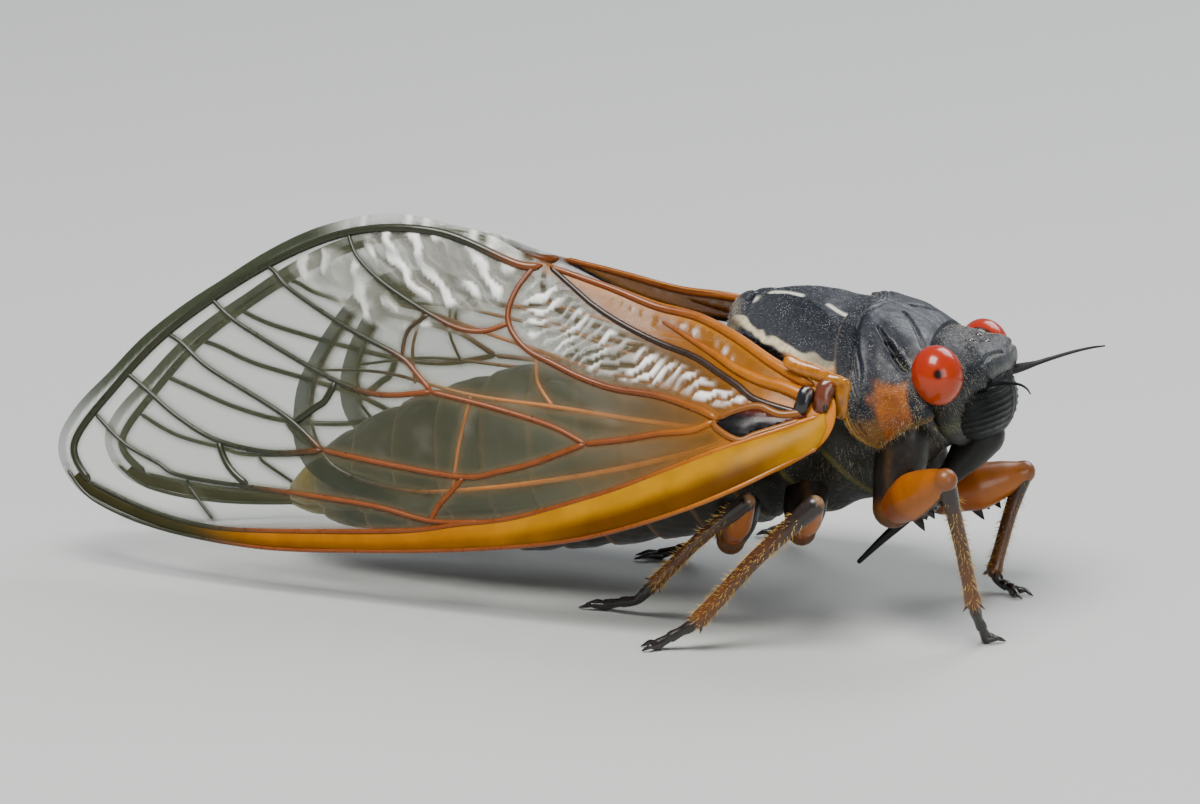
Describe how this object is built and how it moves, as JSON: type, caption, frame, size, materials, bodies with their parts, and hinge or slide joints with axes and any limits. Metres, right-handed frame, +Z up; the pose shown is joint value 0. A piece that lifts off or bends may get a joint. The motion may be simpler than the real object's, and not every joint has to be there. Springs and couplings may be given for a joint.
{
  "type": "periodical cicada",
  "caption": "Life-size still model of an adult cicada at rest, wings folded like a roof, standing on small flats under its feet.",
  "frame": {"origin": "on the floor, under the middle of the box round the whole insect", "axes": "+X towards the head, +Y to the insect's left, +Z up"},
  "size_m": [0.0442, 0.019, 0.0157],
  "materials": {
    "cuticle": "black cuticle with a blue-grey bloom and fine pale hair",
    "abdomen": "dark olive-brown cuticle, satin",
    "eye": "glossy orange-red eye",
    "wing": "clear amber membrane with orange and dark veins",
    "leg_orange": "glossy orange cuticle",
    "leg_brown": "red-brown bristly cuticle",
    "claw": "black-brown horny claws"
  },
  "bodies": {
    "root": {"abdomen": "abdomen", "antenna_left": "cuticle", "antenna_right": "cuticle", "beak": "cuticle", "clypeus": "cuticle", "coxa_fore_left": "cuticle", "coxa_fore_right": "cuticle", "coxa_hind_left": "cuticle", "coxa_hind_right": "cuticle", "coxa_mid_left": "cuticle", "coxa_mid_right": "cuticle", "eye_left": "eye", "eye_right": "eye", "femur_fore_left": "leg_orange", "femur_fore_right": "leg_orange", "femur_hind_left": "leg_orange", "femur_hind_right": "leg_orange", "femur_mid_left": "leg_orange", "femur_mid_right": "leg_orange", "forewing_left": "wing", "forewing_right": "wing", "head": "cuticle", "hindwing_left": "wing", "hindwing_right": "wing", "mesonotum": "cuticle", "pronotum": "cuticle", "prosternum": "cuticle", "pterothorax": "cuticle", "tarsus_fore_left": "claw", "tarsus_fore_right": "claw", "tarsus_hind_left": "claw", "tarsus_hind_right": "claw", "tarsus_mid_left": "claw", "tarsus_mid_right": "claw", "tibia_fore_left": "leg_brown", "tibia_fore_right": "leg_brown", "tibia_hind_left": "leg_brown", "tibia_hind_right": "leg_brown", "tibia_mid_left": "leg_brown", "tibia_mid_right": "leg_brown"}
  },
  "joints": []
}
